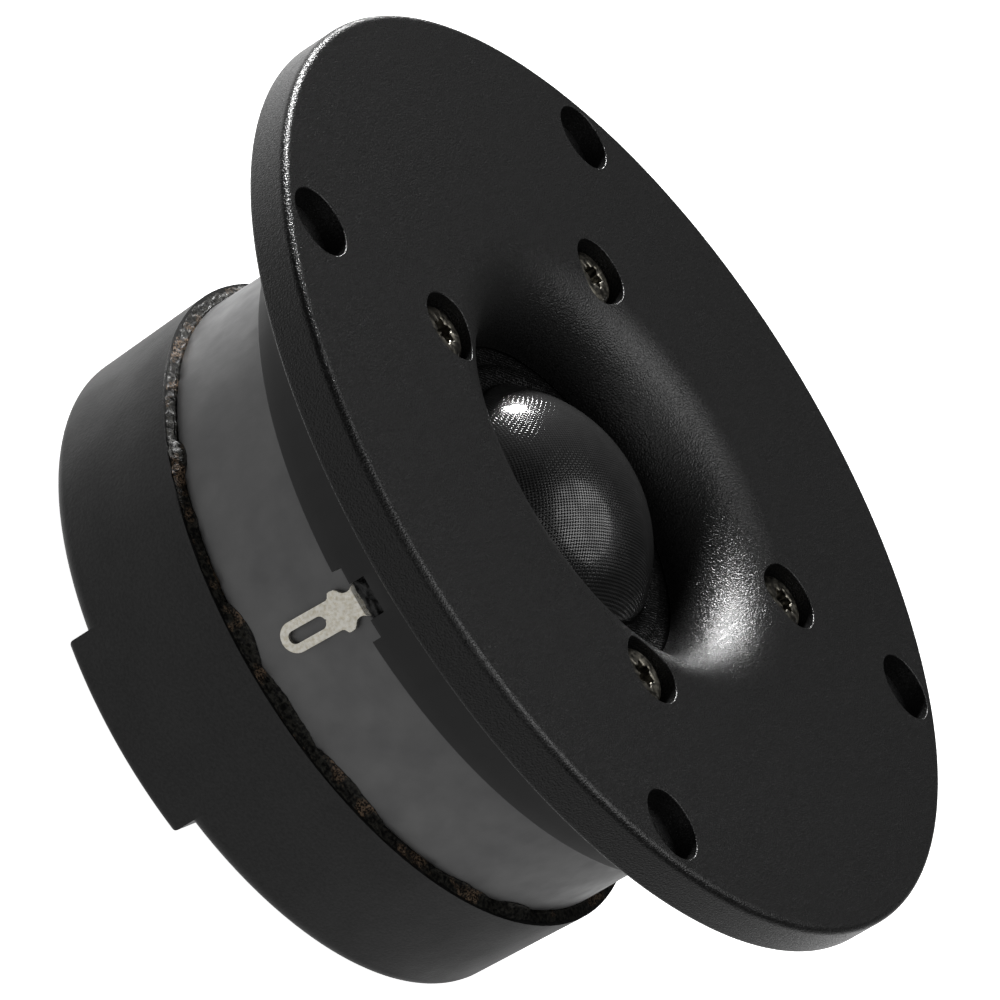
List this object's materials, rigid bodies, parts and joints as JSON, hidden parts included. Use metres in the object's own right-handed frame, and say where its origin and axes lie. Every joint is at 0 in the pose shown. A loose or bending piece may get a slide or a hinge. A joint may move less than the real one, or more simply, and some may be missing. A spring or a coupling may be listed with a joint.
{
  "type": "dome tweeter",
  "caption": "Round flange-mounted dome tweeter with a shallow waveguide, ring magnet, side solder lugs and a sealed rear chamber.",
  "frame": {"origin": "centre of the bolt circle, in the rear seating plane of the flange", "axes": "+Z out of the front along the dome's axis, +X through the positive solder terminal, bolt holes at 45 degrees to X and Y"},
  "size_m": [0.132, 0.132, 0.0587],
  "materials": {
    "moulded_black": "fine matte spark texture",
    "black_steel": "worn black oxide",
    "satin_black": "satin",
    "tinned_brass": "dull tinned",
    "sealant": "glossy where thick, crumbly at the edge",
    "copper": "bright",
    "gasket": "matte",
    "steel": "zinc plated",
    "dome_fabric": "coated woven fabric",
    "surround_fabric": "coated woven fabric, slightly tacky",
    "aluminium": "thin foil",
    "ferrite": "ground ceramic, matte",
    "felt": "felted",
    "textured_black": "fine matte spark texture"
  },
  "bodies": {
    "root": {"faceplate": "moulded_black", "clamp_screws": "black_steel", "collar": "satin_black", "terminal_positive": "tinned_brass", "terminal_negative": "tinned_brass", "terminal_seal_positive": "sealant", "terminal_seal_negative": "sealant", "lead_wire_positive": "copper", "lead_wire_negative": "copper", "diaphragm_gasket": "gasket", "diaphragm_frame": "satin_black", "locating_pins": "steel", "surround": "surround_fabric", "top_plate": "steel", "ferrite_magnet": "ferrite", "pole_yoke": "steel", "shorting_cap": "copper", "pole_felt": "felt", "sealant_bead": "sealant", "rear_cup": "textured_black", "chamber_pad": "felt"},
    "diaphragm": {"dome": "dome_fabric", "coil_former": "aluminium", "coil_winding": "copper"}
  },
  "joints": [
    {"name": "diaphragm_stroke", "type": "slide", "parent": "root", "child": "diaphragm", "axis": [0, 0, 1], "range_m": [-0.0007, 0.0007], "stiffness_N_per_m": 1000, "deforming": ["surround", "lead_wire_positive", "lead_wire_negative"]}
  ]
}
